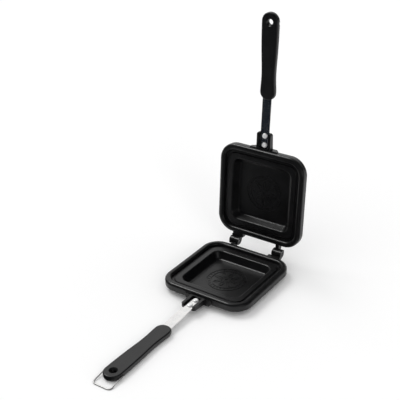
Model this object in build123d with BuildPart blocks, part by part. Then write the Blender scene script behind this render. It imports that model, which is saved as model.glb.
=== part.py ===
"""Hinged pie iron: two die-cast square pans, each on a flat steel strap with a moulded grip,
joined by two pin hinges at the back and locked by a wire bail at the ends of the grips.

Millimetres, +Z up. The origin is the centre of the lower pan's flat base, +Y points to the
hinges and the handles run to -Y. Both pans are the same casting: each has a fork at one
corner and a tongue at the other, so one turned over onto the other makes both hinges.
The lid's pieces are made lying face up like the lower pan's, then turned over onto it and
swung up to their rest pose, open on the hinges' stops. "Depth" is measured from the plane
where the two rims meet.
"""
from build123d import *
import os
from math import asin, atan2, cos, degrees, radians, sin

# ---- pans ---------------------------------------------------------------------------------
pan_side = 145.7            # outside of each square pan at the rim
pan_corner = 27.0           # plan radius of the rim's corners
pan_depth = 19.5            # from the base to the mating plane of the rims
wall = 2.6                  # casting thickness
skirt_depth = 12.0          # outer wall, below the mating plane
skirt_draft = 1.0           # degrees, the outer wall draws in towards its foot
skirt_edge_radius = 1.1
rim_width = 9.2             # from the outside to the foot of the rim's inner wall
rim_outer_radius = 4.0
rim_inner_radius = 3.4
groove_depth = 5.5          # crust groove, below the mating plane
groove_width = 4.5
land_depth = 3.9            # flat land round the cavity, below the mating plane
land_flank = 1.5            # run of the slope between groove and land
cavity_inset = 22.6         # from the outside to the lip of the cavity
cavity_depth = 16.0         # cavity floor, below the mating plane
cavity_draft = 26.0         # degrees
cavity_corner = 13.0        # plan radius at the lip
cavity_floor_radius = 4.0
lip_radius = 2.6
bowl_edge_radius = 2.0      # underside of the cavity, where it meets the base

# ---- rosette cut in the cavity floors -----------------------------------------------------
rosette_radius = 30.0
rosette_cut = 0.8
rosette_line = 1.5
rosette_band = 6.4          # between the two rings
petal_count = 8
petal_length = 14.6
petal_width = 6.0
petal_middle = 13.0         # from the centre of the rosette to the middle of a petal
dash_count = 28
dash_length = 3.4

# ---- hinges: a fork at +X and a tongue at -X of each casting -------------------------------
hinge_behind = 11.5         # hinge axis behind the pans' back edge
hinge_lift = 0.1            # hinge axis above each rim, so that the closed rims just clear
fork_start = 30.2           # outside faces of the fork, from the pans' middle
fork_end = 46.2
web_start = 26.5            # the web that carries the fork
web_end = 44.6
web_overlap = 1.9           # web and ears share this much
fork_slot_start = 32.8
fork_slot_width = 6.6
ear_radius = 5.6
ear_rise = 5.6              # the ears' square back, above the axis
ear_corner = 1.6
tongue_width = 6.0
tongue_radius = 5.1
heel = 5.6                  # square heel of the tongue, which stops on the fork's web
arm_clear = 6.1             # from the axis to the fork's web
bridge_top = 2.2            # depths of the fork's web and bridge
bridge_foot = 11.0
web_foot = 9.6
neck_top = 1.0              # the tongue's neck, depths
neck_foot = 10.6
neck_waist = 9.0
pin_diameter = 4.0
pin_clearance = 0.1         # radial, in the tongue
pin_recess = 0.8
open_angle = 95.0           # lid at rest, opened from the closed pans

# ---- lugs, straps and rivets --------------------------------------------------------------
strap_width = 14.8
strap_thickness = 1.6
strap_depth = 7.6           # strap's inner face in the lug
strap_gap = 3.0             # between the pan's wall and the strap's end
strap_end_radius = 2.0
lug_length = 26.8
lug_half = 11.8
lug_top = 4.2
lug_foot_end = 10.7         # underside of the lug at its front end and at the pan
lug_foot_root = 13.4
lug_slot_clearance = 0.35
lug_corner = 2.0
lug_root_width = 46.0
lug_root_reach = 1.6
lug_root_top = 5.0
lug_root_foot = 14.6
lug_root_corner = 5.0
rivet_diameter = 4.0
rivet_head_diameter = 8.2
rivet_head_height = 2.1
rivet_tail_diameter = 7.0
rivet_tail_height = 1.3
rivet_seat = 10.4           # depth of the flat the rivets' tails sit on
rivet_places = (7.3, 21.6)  # in front of the pan

# ---- grips --------------------------------------------------------------------------------
grip_start = 76.2           # in front of the pan
grip_length = 129.4
grip_thickness = 9.2
grip_cover = 1.2            # grip material over the strap's inner face
lower_tang = (11.0, 0.0)    # depth of the strap at the grip, and its tilt in degrees from there
upper_tang = (8.0, 1.95)
lower_nose = -1.6           # where the grips' front ends are, along the tangs
upper_nose = 0.6
nose_length = 12.0
nose_fullness = 0.6         # 0.55 would make it a quarter ellipse, 1 a square end
shoulder = 12.2             # half width behind the nose
grip_sides = (              # places along the tang, and half widths behind the shoulder
    (28.0, 11.35),
    (45.0, 11.15),
    (64.0, 12.1),
    (82.0, 12.85),
    (106.0, 13.3),
)
grip_face_radius = 1.9
grip_back_radius = 4.2
tang_length = 84.0
key_hole_diameter = 5.0     # holes in the tang that the moulded grip fills
key_hole_places = (18.0, 66.0)
hang_hole_at = 115.4
hang_hole_diameter = 8.6
hang_dish_diameter = 12.4
hang_dish_depth = 2.2

# ---- lock bail ----------------------------------------------------------------------------
bail_wire = 1.8
bail_reach = 27.4           # pivot to the crossbar's centre line
bail_pivot_at = 114.0       # from the grip's front end
bail_half_width = 14.7
bail_hook = 5.2             # length of the hooks that turn in the grip
bail_corner = 5.5
bail_hook_corner = 1.5
bail_bore_clearance = 0.1
bail_end_clearance = 0.3
bail_notch_width = 3.6
bail_notch_depth = 2.0
table_gap = 0.05            # crossbar above the table at rest

# ---- derived places -----------------------------------------------------------------------
half = pan_side / 2
hinge_y = half + hinge_behind
hinge_z = pan_depth + hinge_lift
hinge_axis = Axis((0, hinge_y, hinge_z), (1, 0, 0))
turn_over = Axis((0, 0, hinge_z), (0, 1, 0))
fork_middle = fork_slot_start + fork_slot_width / 2
lug_mouth = half + lug_length
strap_z = pan_depth - strap_depth
seat_z = pan_depth - rivet_seat
grip_middle = grip_cover - grip_thickness / 2
grip_y = -half - grip_start
grip_rear_radius = grip_sides[-1][1]
floor_z = pan_depth - cavity_depth


def inset_square(inset, corner=pan_corner):
    """The pan's plan outline, drawn in by inset from the rim."""
    side = pan_side - 2 * inset
    return RectangleRounded(side, side, corner)


def below_rim(depth):
    """The level plane that lies depth below the mating plane."""
    return Plane.XY.offset(pan_depth - depth)


def side_plane(x):
    """The upright plane across X, with its own x along +Y and its own y along +Z."""
    return Plane((x, 0, 0), x_dir=(0, 1, 0), z_dir=(1, 0, 0))


def to_lid(piece):
    """Turn a piece made face up over onto the lower pan, then swing it open."""
    return piece.rotate(turn_over, 180).rotate(hinge_axis, -open_angle)


def tang_plane(tang):
    """Handle frame on the strap's inner face, where the grip begins.

    Its x runs out along the grip, its y across it and its z towards the other handle.
    """
    depth, tilt = tang
    along = (0, -cos(radians(tilt)), sin(radians(tilt)))
    inward = (0, sin(radians(tilt)), cos(radians(tilt)))
    return Plane((0, grip_y, pan_depth - depth), x_dir=along, z_dir=inward)


def make_strap(tang):
    """Flat bar: level in the lug, sloping to the grip, and the tang inside the grip."""
    frame = tang_plane(tang)
    start = -half - strap_gap
    end = frame.origin + frame.x_dir * tang_length
    inner_face = [(start, strap_z), (-lug_mouth, strap_z), (grip_y, frame.origin.Z), (end.Y, end.Z)]
    outer_face = [(y, z - strap_thickness) for y, z in reversed(inner_face)]
    with BuildPart() as strap:
        with BuildSketch(side_plane(-strap_width / 2)):
            Polygon(*inner_face, *outer_face, align=None)
        extrude(amount=strap_width)
        fillet(strap.edges().filter_by(Axis.Z).group_by(Axis.Y)[-1], strap_end_radius)
        with Locations(*[(0, -half - place, strap_z) for place in rivet_places]):
            Cylinder(rivet_diameter / 2, 3 * strap_thickness, mode=Mode.SUBTRACT)
        with Locations(*[frame.location * Location((place, 0, 0)) for place in key_hole_places]):
            Cylinder(key_hole_diameter / 2, 3 * strap_thickness, mode=Mode.SUBTRACT)
    return strap.part


def make_grip(tang, nose_tip, strap):
    """Grip moulded round the strap's tang: waisted, and round at both ends."""
    frame = tang_plane(tang)
    nose_root = (nose_tip + nose_length, shoulder)
    rear_centre = grip_length - grip_rear_radius
    rear_right = (rear_centre, grip_rear_radius)
    pivot = frame.location * Location((bail_pivot_at, 0, grip_middle))
    hole = frame.location * Location((hang_hole_at, 0, grip_middle))
    with BuildPart() as grip:
        with BuildSketch(frame.offset(grip_cover)):
            with BuildLine():
                nose = Bezier(
                    (nose_tip, 0),
                    (nose_tip, nose_fullness * shoulder),
                    (nose_tip + nose_length * (1 - nose_fullness), shoulder),
                    nose_root,
                )
                flank = Spline(nose_root, *grip_sides, tangents=((1, 0), (1, 0)))
                straight = Line(grip_sides[-1], rear_right)
                rear = RadiusArc(rear_right, (grip_length, 0), grip_rear_radius)
                mirror([nose, flank, straight, rear], about=Plane.XZ)
            make_face()
        extrude(amount=-grip_thickness)
        across = Axis(frame.origin, frame.z_dir)
        fillet(grip.faces().sort_by(across)[-1].edges(), grip_face_radius)
        fillet(grip.faces().sort_by(across)[0].edges(), grip_back_radius)
        with Locations(hole):
            Cylinder(hang_hole_diameter / 2, 2 * grip_thickness, mode=Mode.SUBTRACT)
        for turn in (0, 180):
            dish_foot = Location((0, 0, grip_thickness / 2 - hang_dish_depth))
            with Locations(hole * Location((0, 0, 0), (turn, 0, 0)) * dish_foot):
                Cone(
                    hang_hole_diameter / 2,
                    hang_dish_diameter / 2,
                    hang_dish_depth,
                    align=(Align.CENTER, Align.CENTER, Align.MIN),
                    mode=Mode.SUBTRACT,
                )
        for side in (-1, 1):
            notch_floor = side * (grip_rear_radius - bail_notch_depth)
            with Locations(pivot * Location((0, notch_floor, bail_notch_width / 2))):
                Box(
                    bail_notch_width,
                    grip_rear_radius,
                    grip_thickness,
                    align=(Align.CENTER, Align.MIN if side > 0 else Align.MAX, Align.MAX),
                    mode=Mode.SUBTRACT,
                )
            hook_end = side * (bail_half_width - bail_hook - bail_end_clearance)
            with Locations(pivot * Location((0, hook_end, 0), (-90 * side, 0, 0))):
                Cylinder(
                    bail_wire / 2 + bail_bore_clearance,
                    bail_hook,
                    align=(Align.CENTER, Align.CENTER, Align.MIN),
                    mode=Mode.SUBTRACT,
                )
        add(strap, mode=Mode.SUBTRACT)
    return grip.part


def make_rivet(place):
    """Round-headed rivet through the strap and the lug, its tail formed under the lug."""
    y = -half - place
    with BuildPart() as rivet:
        with BuildSketch(Plane((0, y, seat_z - rivet_tail_height))):
            Circle(rivet_tail_diameter / 2)
        extrude(amount=rivet_tail_height)
        with BuildSketch(Plane((0, y, seat_z))):
            Circle(rivet_diameter / 2)
        extrude(amount=strap_z - seat_z)
        with BuildSketch(Plane((0, y, strap_z))):
            Circle(rivet_head_diameter / 2)
        extrude(amount=rivet_head_height)
        fillet(rivet.edges().sort_by(Axis.Z)[-1], rivet_head_height - 0.3)
        fillet(rivet.edges().sort_by(Axis.Z)[0], rivet_tail_height - 0.3)
    return rivet.part


def make_pin():
    """Hinge pin pressed in a fork's ears, a little below their faces."""
    length = fork_end - fork_start - 2 * pin_recess
    with BuildPart() as pin:
        with BuildSketch(side_plane(fork_start + pin_recess)):
            with Locations((hinge_y, hinge_z)):
                Circle(pin_diameter / 2)
        extrude(amount=length)
        chamfer(pin.edges().filter_by(GeomType.CIRCLE), 0.3)
    return pin.part


# ---- casting shared by both pans ----------------------------------------------------------
with BuildPart() as skirt_hollow:
    with BuildSketch(below_rim(skirt_depth)):
        inset_square(wall, pan_corner - wall)
    extrude(amount=skirt_depth - groove_depth - wall)

with BuildPart() as bowl:
    with BuildSketch(below_rim(land_depth)):
        inset_square(cavity_inset - wall, cavity_corner + wall)
    extrude(amount=land_depth - pan_depth, taper=cavity_draft)
    fillet(bowl.faces().sort_by(Axis.Z)[0].edges(), bowl_edge_radius)

with BuildPart() as casting:
    with BuildSketch(below_rim(0)):
        inset_square(0)
    extrude(amount=-skirt_depth, taper=skirt_draft)
    fillet(casting.faces().sort_by(Axis.Z)[0].edges(), skirt_edge_radius)
    with BuildSketch(below_rim(0)):
        inset_square(rim_width, pan_corner - rim_width)
    extrude(amount=-groove_depth, mode=Mode.SUBTRACT)
    rim = casting.faces().sort_by(Axis.Z)[-1]
    fillet(rim.outer_wire().edges(), rim_outer_radius)
    rim = casting.faces().sort_by(Axis.Z)[-1]
    fillet(rim.inner_wires()[0].edges(), rim_inner_radius)
    land_rise = groove_depth - land_depth
    with BuildSketch(below_rim(groove_depth)):
        inset_square(rim_width + groove_width, pan_corner - rim_width - groove_width)
    extrude(amount=land_rise, taper=degrees(atan2(land_flank, land_rise)))
    add(skirt_hollow.part, mode=Mode.SUBTRACT)
    add(bowl.part)
    with BuildSketch(below_rim(land_depth)):
        inset_square(cavity_inset, cavity_corner)
    extrude(amount=land_depth - cavity_depth, taper=cavity_draft, mode=Mode.SUBTRACT)
    fillet(casting.edges().filter_by_position(Axis.Z, floor_z - 0.01, floor_z + 0.01), cavity_floor_radius)
    land_face = casting.faces().filter_by(Plane.XY).filter_by_position(
        Axis.Z, pan_depth - land_depth - 0.01, pan_depth - land_depth + 0.01
    )
    fillet(land_face[0].inner_wires()[0].edges(), lip_radius)
    # lug for the strap: a trough with two walls, and a flange where it leaves the skirt
    with BuildSketch(side_plane(-lug_half)):
        Polygon(
            (-half + wall, pan_depth - lug_top),
            (-lug_mouth, pan_depth - lug_top),
            (-lug_mouth, pan_depth - lug_foot_end),
            (-half + wall, pan_depth - lug_foot_root),
            align=None,
        )
    extrude(amount=2 * lug_half)
    chamfer(casting.edges().filter_by(Axis.Z).group_by(Axis.Y)[0], lug_corner)
    with BuildSketch(Plane((0, -(half + lug_root_reach), 0), x_dir=(1, 0, 0), z_dir=(0, -1, 0))):
        with Locations((0, pan_depth - lug_root_foot)):
            root_height = lug_root_foot - lug_root_top
            root_face = Rectangle(lug_root_width, root_height, align=(Align.CENTER, Align.MIN))
        chamfer(root_face.vertices().group_by(Axis.Y)[0], lug_root_corner)
    extrude(amount=-(lug_root_reach + wall))
    with BuildSketch(below_rim(strap_depth + strap_thickness)):
        with Locations((0, -(half + strap_gap - lug_slot_clearance))):
            lug_slot_width = strap_width + 2 * lug_slot_clearance
            Rectangle(lug_slot_width, 2 * lug_length, align=(Align.CENTER, Align.MAX))
    extrude(amount=strap_depth + strap_thickness, mode=Mode.SUBTRACT)
    for place in rivet_places:
        with BuildSketch(Plane((0, -half - place, seat_z))):
            Circle(rivet_diameter / 2)
        extrude(amount=pan_depth, mode=Mode.SUBTRACT)
        with BuildSketch(Plane((0, -half - place, seat_z))):
            Circle(rivet_tail_diameter / 2 + lug_slot_clearance)
        extrude(amount=-pan_depth, mode=Mode.SUBTRACT)

    # rosette in the cavity floor
    with BuildSketch(Plane.XY.offset(floor_z)):
        for outer in (rosette_radius, rosette_radius - rosette_band):
            Circle(outer)
            Circle(outer - rosette_line, mode=Mode.SUBTRACT)
        with PolarLocations(rosette_radius - (rosette_band + rosette_line) / 2, dash_count):
            SlotOverall(dash_length, rosette_line)
        with PolarLocations(petal_middle, petal_count):
            Ellipse(petal_length / 2, petal_width / 2)
            Ellipse(petal_length / 2 - rosette_line, petal_width / 2 - rosette_line, mode=Mode.SUBTRACT)
        Circle(2 * rosette_line)
    extrude(amount=-rosette_cut, mode=Mode.SUBTRACT)

    # fork: a web on the skirt carries two ears, with the slot for the other pan's tongue
    with BuildSketch(side_plane(web_start)):
        Polygon(
            (half - wall, pan_depth - bridge_top),
            (hinge_y - arm_clear, pan_depth - bridge_top),
            (hinge_y - arm_clear, pan_depth - web_foot),
            (half - wall, pan_depth - bridge_foot),
            align=None,
        )
    extrude(amount=web_end - web_start)
    with BuildSketch(side_plane(fork_start)):
        Polygon(
            (hinge_y - arm_clear - web_overlap, pan_depth - bridge_top),
            (hinge_y, pan_depth - bridge_top),
            (hinge_y + 0.6 * ear_radius, hinge_z - 0.8 * ear_radius),
            (hinge_y - arm_clear - web_overlap, pan_depth - web_foot),
            align=None,
        )
        with Locations((hinge_y, hinge_z)):
            Circle(ear_radius)
        with Locations((hinge_y + ear_radius, hinge_z)):
            ear_back = Rectangle(ear_radius, ear_rise, align=(Align.MAX, Align.MIN))
            fillet(ear_back.vertices().group_by(Axis.Y)[-1], ear_corner)
    extrude(amount=fork_end - fork_start)
    with BuildSketch(side_plane(fork_slot_start)):
        with Locations((hinge_y - arm_clear, hinge_z)):
            Rectangle(4 * ear_radius, 4 * ear_radius, align=(Align.MIN, Align.CENTER))
    extrude(amount=fork_slot_width, mode=Mode.SUBTRACT)
    with BuildSketch(side_plane(fork_start)):
        with Locations((hinge_y, hinge_z)):
            Circle(pin_diameter / 2)
    extrude(amount=fork_end - fork_start, mode=Mode.SUBTRACT)

    # tongue, with the heel that stops the lid when it is open
    with BuildSketch(side_plane(-fork_middle - tongue_width / 2)):
        Polygon(
            (half - wall, pan_depth - neck_top),
            (hinge_y, pan_depth - neck_top),
            (hinge_y, hinge_z - tongue_radius),
            (hinge_y - arm_clear, pan_depth - neck_waist),
            (half - wall, pan_depth - neck_foot),
            align=None,
        )
        with Locations((hinge_y, hinge_z)):
            Circle(tongue_radius)
            Rectangle(heel, heel, align=(Align.MIN, Align.MIN))
            Circle(pin_diameter / 2 + pin_clearance, mode=Mode.SUBTRACT)
    extrude(amount=tongue_width)

# ---- lock bail, lying back from the lower grip onto the table ------------------------------
grip_frame = tang_plane(lower_tang)
pivot_point = grip_frame.origin + grip_frame.x_dir * bail_pivot_at + grip_frame.z_dir * grip_middle
bail_drop = asin((pivot_point.Z - bail_wire / 2 - table_gap) / bail_reach)
bail_plane = Plane(
    pivot_point,
    x_dir=(0, -cos(bail_drop), -sin(bail_drop)),
    z_dir=(0, -sin(bail_drop), cos(bail_drop)),
)
with BuildPart() as lock_bail:
    with BuildLine(bail_plane) as route:
        FilletPolyline(
            (0, -bail_half_width + bail_hook),
            (0, -bail_half_width),
            (bail_reach, -bail_half_width),
            (bail_reach, bail_half_width),
            (0, bail_half_width),
            (0, bail_half_width - bail_hook),
            radius=[bail_hook_corner, bail_corner, bail_corner, bail_hook_corner],
        )
    with BuildSketch(Plane(origin=route.line @ 0, z_dir=route.line % 0)):
        Circle(bail_wire / 2)
    sweep(path=route.line)

# ---- the other pieces, and what is written --------------------------------------------------
lower_strap = make_strap(lower_tang)
upper_strap = make_strap(upper_tang)
pieces = {
    "lower_pan": casting.part,
    "lower_strap": lower_strap,
    "lower_grip": make_grip(lower_tang, lower_nose, lower_strap),
    "lower_rivet_rear": make_rivet(rivet_places[0]),
    "lower_rivet_front": make_rivet(rivet_places[1]),
    "hinge_pin_right": make_pin(),
    "lock_bail": lock_bail.part,
    "upper_pan": to_lid(casting.part),
    "upper_strap": to_lid(upper_strap),
    "upper_grip": to_lid(make_grip(upper_tang, upper_nose, upper_strap)),
    "upper_rivet_rear": to_lid(make_rivet(rivet_places[0])),
    "upper_rivet_front": to_lid(make_rivet(rivet_places[1])),
    "hinge_pin_left": to_lid(make_pin()),
}
os.makedirs("parts", exist_ok=True)
for name, piece in pieces.items():
    piece.label = name
    export_step(piece, f"parts/{name}.step")
print(f"hinge axis y {hinge_y:.3f} z {hinge_z:.3f}")
print(f"bail pivot y {pivot_point.Y:.3f} z {pivot_point.Z:.3f}, drop {degrees(bail_drop):.3f} degrees")
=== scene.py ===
"""Hinged pie iron: finish, floor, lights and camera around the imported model.

Metres, in the model's own frame: the origin is the centre of the lower pan's flat base, +Z is up,
+Y points to the hinges and the lower handle runs to -Y. The lid stands open.
"""

from math import cos, radians, sin

import bpy
from mathutils import Matrix, Vector

MM = 0.001
IMAGE_SIDE = 400            # the picture is square, this many pixels a side

# ---- camera -------------------------------------------------------------------------------
CAMERA_PLACE = Vector((643.2, -965.5, 748.0)) * MM
CAMERA_AZIMUTH = 35.455     # degrees
CAMERA_ELEVATION = 27.699
CAMERA_ROLL = -1.617
SENSOR = 36.0               # mm
FOCAL_PIXELS = 920.3        # focal length in pixels of the picture

# ---- floor and lights ---------------------------------------------------------------------
FLOOR_SIDE = 24.0
FLOOR_COLOUR = (0.92, 0.92, 0.92)   # what it gives back to the object
FLOOR_SEEN = (0.98, 0.98, 0.98)     # what the camera and reflections see of it
WORLD_STRENGTH = 0.76       # even light from all round
PALE_STRENGTH = 1.0         # what the camera and reflections see of the surroundings
AIM = Vector((0, 0, 0.1))   # the suns and the upright cards face this place over the lower pan
SUN_DISTANCE = 2.0          # of the places the suns point from
# soft suns that light matte surfaces: azimuth and elevation (azimuth 0 is on the -Y side and 90 on
# the +X side), how wide they look, all in degrees, and their strength
SUNS = {
    "key": (255, 57, 28, 0.9),
    "fill": (55, 27, 16, 0.3),
}
# the same for suns that only add their highlights to gloss
GLINTS = {
    "glint_left": (279, 57, 24, 1.9),
}
FLAG_COLOUR = (0.010, 0.013, 0.018)
# black cards that only reflections see: azimuth, elevation, distance, width, height
FLAGS = {
    "flag_right": (122, 24, 2.1, 3.6, 1.6),
    "flag_front": (14, 22, 2.6, 2.8, 1.6),
    "flag_left": (307, 22, 2.4, 4.0, 2.0),
}
CEILING_HEIGHT = 1.9
CLOTH_HEIGHT = 0.0005       # just above the floor
# level black cards: lowest and highest x, lowest and highest y, height
LEVEL_FLAGS = {
    "flag_above_right": ((0.0, 3.0), (-3.0, 3.0), CEILING_HEIGHT),
    "flag_above_middle": ((-0.4, 0.0), (-3.0, 1.0), CEILING_HEIGHT),
    "flag_above_left": ((-3.0, -0.4), (-3.0, -0.6), CEILING_HEIGHT),
    "cloth_left": ((-0.165, -0.085), (-0.115, 0.0), CLOTH_HEIGHT),
    "cloth_front_left": ((-0.215, 0.0), (-0.2, -0.115), CLOTH_HEIGHT),
    "cloth_far_left": ((-0.27, 0.0), (-0.27, -0.2), CLOTH_HEIGHT),
    "cloth_front": ((-3.0, 0.0), (-3.0, -0.27), CLOTH_HEIGHT),
    "cloth_front_right": ((0.045, 1.0), (-1.2, -0.115), CLOTH_HEIGHT),
    "cloth_behind_grip": ((0.0, 0.045), (-1.2, -0.28), CLOTH_HEIGHT),
    "cloth_right": ((0.1, 1.0), (-0.115, 0.1), CLOTH_HEIGHT),
}

# ---- finishes -----------------------------------------------------------------------------
COATING_BLACKS = ((0.002, 0.002, 0.0022), (0.004, 0.004, 0.0044))
COATING_FLECK = (0.03, 0.03, 0.033)
COATING_RUBBED = (0.10, 0.10, 0.105)
GRIP_BLACKS = ((0.003, 0.003, 0.0033), (0.005, 0.005, 0.0055))
GRIP_WORN = (0.03, 0.03, 0.032)
STRAP_TONES = ((0.84, 0.83, 0.82), (0.78, 0.775, 0.77))
STEEL_FILM = 0.8            # how much darker the thin film on steel parts is
EDGE_SAMPLES = 6
# sockets of the Mix node for colours, whose names repeat
MIX_A, MIX_B, MIX_RESULT = 6, 7, 2


class Tree:
    """Short names for the nodes and links of one new material."""

    def __init__(self, name):
        self.material = bpy.data.materials.new(name)
        self.material.use_nodes = True
        self.material.node_tree.nodes.clear()
        self.nodes = self.material.node_tree.nodes
        self.links = self.material.node_tree.links
        self.shader = self.nodes.new("ShaderNodeBsdfPrincipled")
        output = self.nodes.new("ShaderNodeOutputMaterial")
        self.links.new(self.shader.outputs["BSDF"], output.inputs["Surface"])
        self.coords = self.nodes.new("ShaderNodeTexCoord").outputs["Object"]

    def add(self, kind, **values):
        """New node with some of its properties set."""
        node = self.nodes.new(kind)
        for key, value in values.items():
            setattr(node, key, value)
        return node

    def stretched(self, scale):
        """Object coordinates multiplied by scale, one factor per axis."""
        mapping = self.add("ShaderNodeMapping", vector_type="POINT")
        mapping.inputs["Scale"].default_value = scale
        self.links.new(self.coords, mapping.inputs["Vector"])
        return mapping.outputs["Vector"]

    def noise(self, size, detail=2.0, rough=0.5, scale=(1, 1, 1), distortion=0.0):
        """Noise whose blobs are about size metres across."""
        node = self.add("ShaderNodeTexNoise")
        node.inputs["Scale"].default_value = 1 / size
        node.inputs["Detail"].default_value = detail
        node.inputs["Roughness"].default_value = rough
        node.inputs["Distortion"].default_value = distortion
        self.links.new(self.stretched(scale), node.inputs["Vector"])
        return node.outputs["Fac"]

    def spread(self, value, low, high, to_low=0.0, to_high=1.0):
        """Value mapped from low..high to to_low..to_high, clamped."""
        node = self.add("ShaderNodeMapRange", clamp=True)
        ends = {"From Min": low, "From Max": high, "To Min": to_low, "To Max": to_high}
        for name, number in ends.items():
            node.inputs[name].default_value = number
        self.links.new(value, node.inputs["Value"])
        return node.outputs["Result"]

    def math(self, operation, a, b):
        """Sum, difference or product of a and b, each a number or a socket."""
        node = self.add("ShaderNodeMath", operation=operation)
        for socket, value in zip(node.inputs, (a, b)):
            if isinstance(value, (int, float)):
                socket.default_value = value
            else:
                self.links.new(value, socket)
        return node.outputs["Value"]

    def mix(self, factor, a, b):
        """Colour mix of a and b, each a colour or a socket."""
        node = self.add("ShaderNodeMix", data_type="RGBA")
        self.links.new(factor, node.inputs["Factor"])
        for socket, value in ((node.inputs[MIX_A], a), (node.inputs[MIX_B], b)):
            if isinstance(value, tuple):
                socket.default_value = (*value, 1)
            else:
                self.links.new(value, socket)
        return node.outputs[MIX_RESULT]

    def bump(self, height, distance, strength=1.0, under=None):
        """Normal of a relief, laid over the normal under it."""
        node = self.add("ShaderNodeBump")
        node.inputs["Strength"].default_value = strength
        node.inputs["Distance"].default_value = distance
        self.links.new(height, node.inputs["Height"])
        if under is not None:
            self.links.new(under, node.inputs["Normal"])
        return node.outputs["Normal"]

    def edges(self, radius, low, high):
        """1 on sharp edges within about radius, 0 on flats."""
        bevel = self.add("ShaderNodeBevel", samples=EDGE_SAMPLES)
        bevel.inputs["Radius"].default_value = radius
        geometry = self.add("ShaderNodeNewGeometry")
        dot = self.add("ShaderNodeVectorMath", operation="DOT_PRODUCT")
        self.links.new(bevel.outputs["Normal"], dot.inputs[0])
        self.links.new(geometry.outputs["Normal"], dot.inputs[1])
        return self.spread(dot.outputs["Value"], high, low)

    def set(self, **sockets):
        """Shader inputs: a number or colour is set, a socket is linked."""
        for name, value in sockets.items():
            socket = self.shader.inputs[name.replace("_", " ")]
            if isinstance(value, (int, float)):
                socket.default_value = value
            elif isinstance(value, tuple):
                socket.default_value = (*value, 1)
            else:
                self.links.new(value, socket)


def pan_coating():
    """Dark satin non-stick coating on a die-cast surface, rubbed a little along its edges."""
    t = Tree("pan_coating")
    cloud = t.noise(14 * MM, detail=4, rough=0.6)
    speck = t.noise(0.35 * MM, detail=2)
    cast = t.noise(2.2 * MM, detail=3, rough=0.6)
    peel = t.noise(1.6 * MM, detail=2)
    rubbed = t.math("MULTIPLY", t.edges(0.5 * MM, 0.90, 0.99), t.spread(cast, 0.45, 0.65))
    dark = t.mix(t.spread(cloud, 0.35, 0.65), *COATING_BLACKS)
    flecked = t.mix(t.spread(speck, 0.62, 0.72, 0, 0.3), dark, COATING_FLECK)
    t.set(
        Base_Color=t.mix(t.math("MULTIPLY", rubbed, 0.35), flecked, COATING_RUBBED),
        Roughness=t.math(
            "ADD", t.spread(cloud, 0.3, 0.7, 0.38, 0.46), t.spread(speck, 0.4, 0.7, 0, 0.05)),
        Metallic=0.0,
        Specular_IOR_Level=0.26,
        Coat_Weight=0.25,
        Coat_Roughness=0.1,
        Coat_Normal=t.bump(speck, 0.05 * MM, 0.5, under=t.bump(peel, 0.14 * MM, 0.6)),
        Normal=t.bump(speck, 0.08 * MM, 0.6, under=t.bump(cast, 0.2 * MM, 0.5)),
    )
    return t.material


def grip_plastic():
    """Matte black moulding with a fine spark-eroded grain."""
    t = Tree("grip_plastic")
    grain = t.noise(0.4 * MM, detail=3, rough=0.65)
    pores = t.noise(1.1 * MM, detail=2, rough=0.6)
    cloud = t.noise(22 * MM, detail=3)
    worn = t.edges(0.7 * MM, 0.93, 0.995)
    base = t.mix(t.spread(cloud, 0.35, 0.65), *GRIP_BLACKS)
    t.set(
        Base_Color=t.mix(t.math("MULTIPLY", worn, 0.25), base, GRIP_WORN),
        Roughness=t.math(
            "SUBTRACT", t.spread(grain, 0.3, 0.7, 0.44, 0.34), t.math("MULTIPLY", worn, 0.1)),
        Metallic=0.0,
        Specular_IOR_Level=0.46,
        Normal=t.bump(grain, 0.09 * MM, 0.5, under=t.bump(pores, 0.16 * MM, 0.6)),
    )
    return t.material


def strap_metal():
    """Bright plated flat bar with rolling lines along it and a few fine scratches."""
    t = Tree("strap_metal")
    lines = t.noise(0.5 * MM, detail=3, rough=0.6, scale=(1, 0.01, 0.01))
    cloud = t.noise(9 * MM, detail=3)
    scratch = t.noise(0.22 * MM, detail=1, scale=(1, 0.03, 0.03), distortion=0.3)
    t.set(
        Base_Color=t.mix(t.spread(cloud, 0.35, 0.7), *STRAP_TONES),
        Roughness=t.math(
            "ADD", t.spread(lines, 0.35, 0.65, 0.12, 0.2), t.spread(scratch, 0.66, 0.7, 0, 0.08)),
        Metallic=1.0,
        Normal=t.bump(lines, 0.004 * MM, 0.3, under=t.bump(scratch, 0.002 * MM, 0.3)),
    )
    return t.material


def turned_steel(name, tone, rough, metallic=1.0):
    """Finish of small steel parts: rivets, pins and wire."""
    t = Tree(name)
    marks = t.noise(0.6 * MM, detail=3, rough=0.6)
    film = t.noise(3 * MM, detail=2)
    duller = tuple(STEEL_FILM * c for c in tone)
    t.set(
        Base_Color=t.mix(t.spread(film, 0.35, 0.65), tone, duller),
        Roughness=t.spread(marks, 0.3, 0.7, rough - 0.05, rough + 0.07),
        Metallic=metallic,
        Normal=t.bump(marks, 0.006 * MM, 0.3),
    )
    return t.material


def finish_nodes(nodes):
    """Give every node of the model its material."""
    finishes = {
        "pan": pan_coating(),
        "grip": grip_plastic(),
        "strap": strap_metal(),
        # rivet heads: real steel, but given a near-white tone with a large matte share, which
        # paints a pale reflection over the whole dome
        "rivet": turned_steel("rivet_steel", (0.97, 0.97, 0.97), rough=0.3, metallic=0.35),
        "pin": turned_steel("pin_steel", (0.42, 0.42, 0.43), rough=0.4),
        "bail": turned_steel("bail_steel", (0.66, 0.65, 0.64), rough=0.5),
    }
    for name, piece in nodes.items():
        finish = next(made for word, made in finishes.items() if word in name)
        for place in piece.material_slots:
            place.material = finish


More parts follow.
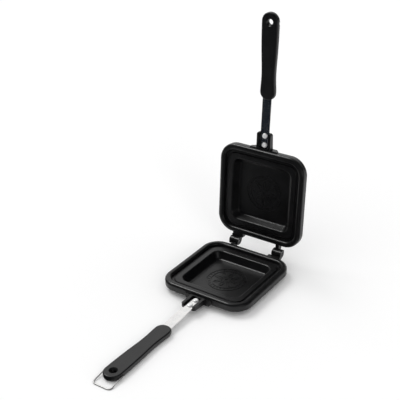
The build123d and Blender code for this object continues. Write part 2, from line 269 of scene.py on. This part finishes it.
def add_camera():
    """Camera at the photograph's place and angle."""
    azimuth, elevation, roll = map(radians, (CAMERA_AZIMUTH, CAMERA_ELEVATION, CAMERA_ROLL))
    back = Vector((sin(azimuth) * cos(elevation), -cos(azimuth) * cos(elevation), sin(elevation)))
    level = Vector((cos(azimuth), sin(azimuth), 0))
    above = back.cross(level)
    right = cos(roll) * level + sin(roll) * above
    up = cos(roll) * above - sin(roll) * level
    data = bpy.data.cameras.new("camera")
    data.sensor_width = SENSOR
    data.lens = FOCAL_PIXELS / IMAGE_SIDE * SENSOR
    camera = bpy.data.objects.new("camera", data)
    turn = Matrix((right, up, back)).transposed()
    camera.matrix_world = Matrix.LocRotScale(CAMERA_PLACE, turn, None)
    bpy.context.scene.collection.objects.link(camera)
    bpy.context.scene.camera = camera


def pale_where_seen(nodes, links):
    """1 for camera, mirror and glass rays, 0 for the rest."""
    path = nodes.new("ShaderNodeLightPath")
    seen = path.outputs["Is Camera Ray"]
    for ray in ("Is Glossy Ray", "Is Transmission Ray"):
        either = nodes.new("ShaderNodeMath")
        either.operation = "MAXIMUM"
        links.new(seen, either.inputs[0])
        links.new(path.outputs[ray], either.inputs[1])
        seen = either.outputs["Value"]
    return seen


def add_world():
    """Even pale surroundings, a little dimmer for matte surfaces than they look."""
    world = bpy.data.worlds.new("studio")
    world.use_nodes = True
    nodes, links = world.node_tree.nodes, world.node_tree.links
    background = nodes["Background"]
    background.inputs["Color"].default_value = (1, 1, 1, 1)
    strength = nodes.new("ShaderNodeMapRange")
    strength.inputs["To Min"].default_value = WORLD_STRENGTH
    strength.inputs["To Max"].default_value = PALE_STRENGTH
    links.new(pale_where_seen(nodes, links), strength.inputs["Value"])
    links.new(strength.outputs["Result"], background.inputs["Strength"])
    bpy.context.scene.world = world


def add_floor():
    """Pale level floor under the object."""
    half = FLOOR_SIDE / 2
    mesh = bpy.data.meshes.new("floor")
    corners = [(-half, -half, 0), (half, -half, 0), (half, half, 0), (-half, half, 0)]
    mesh.from_pydata(corners, [], [(0, 1, 2, 3)])
    floor = bpy.data.objects.new("floor", mesh)
    bpy.context.scene.collection.objects.link(floor)
    t = Tree("floor_paper")
    pale = t.mix(pale_where_seen(t.nodes, t.links), FLOOR_COLOUR, FLOOR_SEEN)
    t.set(Base_Color=pale, Roughness=0.9, Specular_IOR_Level=0.0)
    mesh.materials.append(t.material)


def around(azimuth, elevation, distance):
    """Place seen from the origin at azimuth and elevation, in degrees."""
    azimuth, elevation = radians(azimuth), radians(elevation)
    level = cos(elevation) * distance
    return Vector((sin(azimuth) * level, -cos(azimuth) * level, sin(elevation) * distance))


def facing_aim(place):
    """Rotation that turns the -Z of an object at place towards AIM."""
    return (AIM - place).to_track_quat("-Z", "Y")


def add_suns(suns, on_matte):
    """Distant soft suns, which light matte surfaces evenly or only add to gloss."""
    for name, (azimuth, elevation, angle, strength) in suns.items():
        data = bpy.data.lights.new(name, "SUN")
        data.angle = radians(angle)
        data.energy = strength
        lamp = bpy.data.objects.new(name, data)
        lamp.location = around(azimuth, elevation, SUN_DISTANCE)
        lamp.rotation_euler = facing_aim(lamp.location).to_euler()
        lamp.visible_diffuse = on_matte
        lamp.visible_glossy = not on_matte
        bpy.context.scene.collection.objects.link(lamp)


def add_card(name, corners, finish):
    """Flat black card that only reflections see."""
    mesh = bpy.data.meshes.new(name)
    mesh.from_pydata(corners, [], [(0, 1, 2, 3)])
    mesh.materials.append(finish)
    card = bpy.data.objects.new(name, mesh)
    for ray in ("camera", "diffuse", "transmission", "volume_scatter", "shadow"):
        setattr(card, f"visible_{ray}", False)
    bpy.context.scene.collection.objects.link(card)
    return card


def add_flags():
    """Black cards round the object, as photographers use to give dark gloss its shape."""
    t = Tree("flag_black")
    t.set(Base_Color=FLAG_COLOUR, Roughness=1.0, Specular_IOR_Level=0.0)
    signs = ((-1, -1), (1, -1), (1, 1), (-1, 1))
    for name, (azimuth, elevation, distance, width, height) in FLAGS.items():
        corners = [(x * width / 2, y * height / 2, 0) for x, y in signs]
        flag = add_card(name, corners, t.material)
        flag.location = around(azimuth, elevation, distance)
        flag.rotation_euler = facing_aim(flag.location).to_euler()
    for name, (xs, ys, height) in LEVEL_FLAGS.items():
        add_card(name, [(xs[x > 0], ys[y > 0], height) for x, y in signs], t.material)


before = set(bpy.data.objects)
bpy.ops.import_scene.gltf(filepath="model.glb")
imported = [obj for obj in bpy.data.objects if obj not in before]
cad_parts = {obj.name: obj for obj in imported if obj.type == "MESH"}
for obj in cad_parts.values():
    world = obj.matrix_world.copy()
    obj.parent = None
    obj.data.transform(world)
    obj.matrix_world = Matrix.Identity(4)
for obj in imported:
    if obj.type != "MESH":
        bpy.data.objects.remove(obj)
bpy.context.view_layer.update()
finish_nodes(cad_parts)
add_camera()
add_world()
add_floor()
add_suns(SUNS, True)
add_suns(GLINTS, False)
add_flags()
bpy.context.scene.view_settings.view_transform = "Standard"
